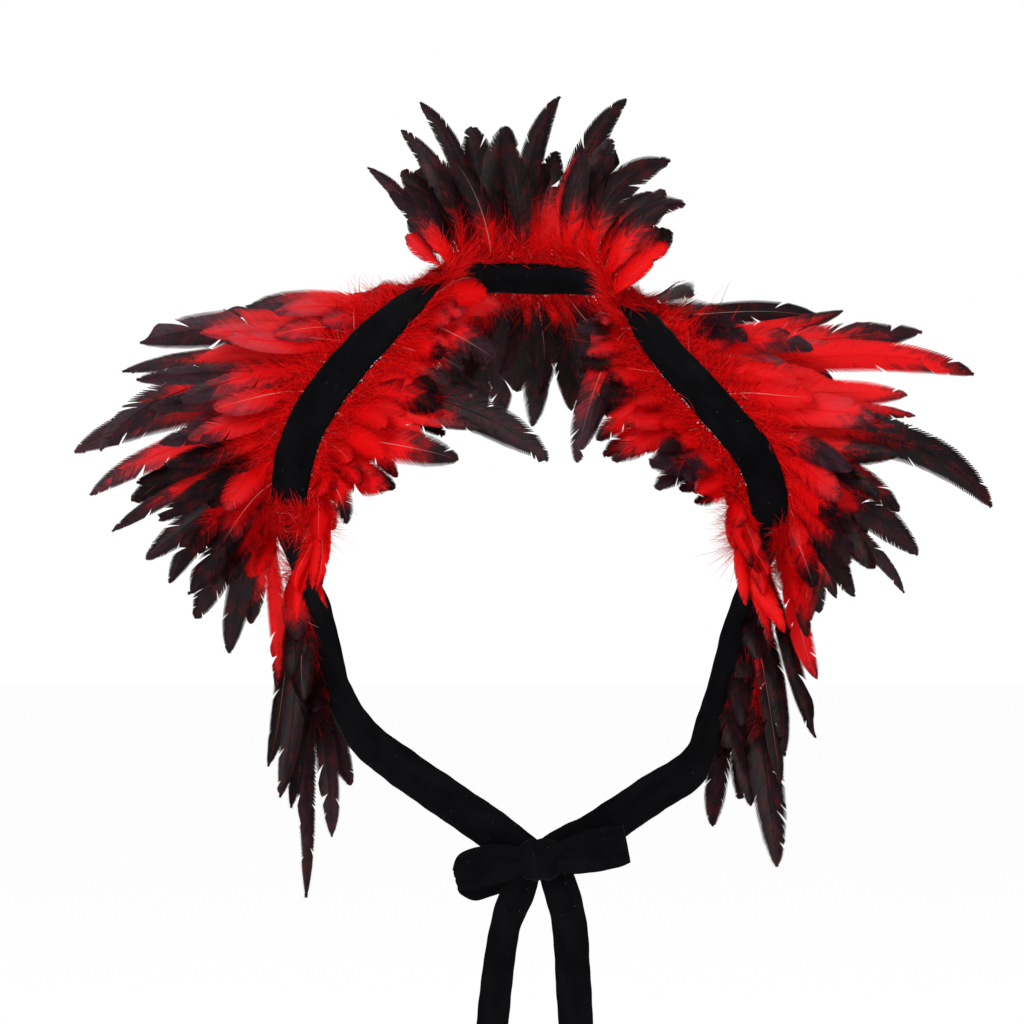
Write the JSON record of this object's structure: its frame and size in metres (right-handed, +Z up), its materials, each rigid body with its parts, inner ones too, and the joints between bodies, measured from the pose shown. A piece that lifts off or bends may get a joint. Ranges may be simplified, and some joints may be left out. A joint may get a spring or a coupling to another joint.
{
  "type": "feather shoulder cape",
  "caption": "Worn loop of black velvet ribbon edged with long red and black feathers as a collar and shoulder wings, tied in a bow at the waist",
  "frame": {"origin": "centre of the neck opening, at the height of the ribbon band behind the neck", "axes": "+Z up along the wearer; the wearer faces -Y; +X to the right of the picture, which is the wearer's left"},
  "size_m": [0.683, 0.2713, 0.7947],
  "materials": {
    "black_velvet": "matt black velvet",
    "red_feather": "dyed feather, red with glossy near-black ends"
  },
  "bodies": {
    "root": {"shoulder_band_left": "black_velvet", "shoulder_band_right": "black_velvet", "neck_band": "black_velvet", "neck_facing": "black_velvet", "side_strap_left": "black_velvet", "side_strap_right": "black_velvet", "tie_left": "black_velvet", "tie_right": "black_velvet", "bow_knot": "black_velvet", "bow_loop_left": "black_velvet", "bow_loop_right": "black_velvet", "bow_tail_left": "black_velvet", "bow_tail_right": "black_velvet", "collar_feathers": "red_feather", "back_feathers": "red_feather", "shoulder_feathers_left": "red_feather", "shoulder_feathers_right": "red_feather", "chest_feathers_left": "red_feather", "chest_feathers_right": "red_feather", "side_feathers_left": "red_feather", "side_feathers_right": "red_feather"}
  },
  "joints": []
}
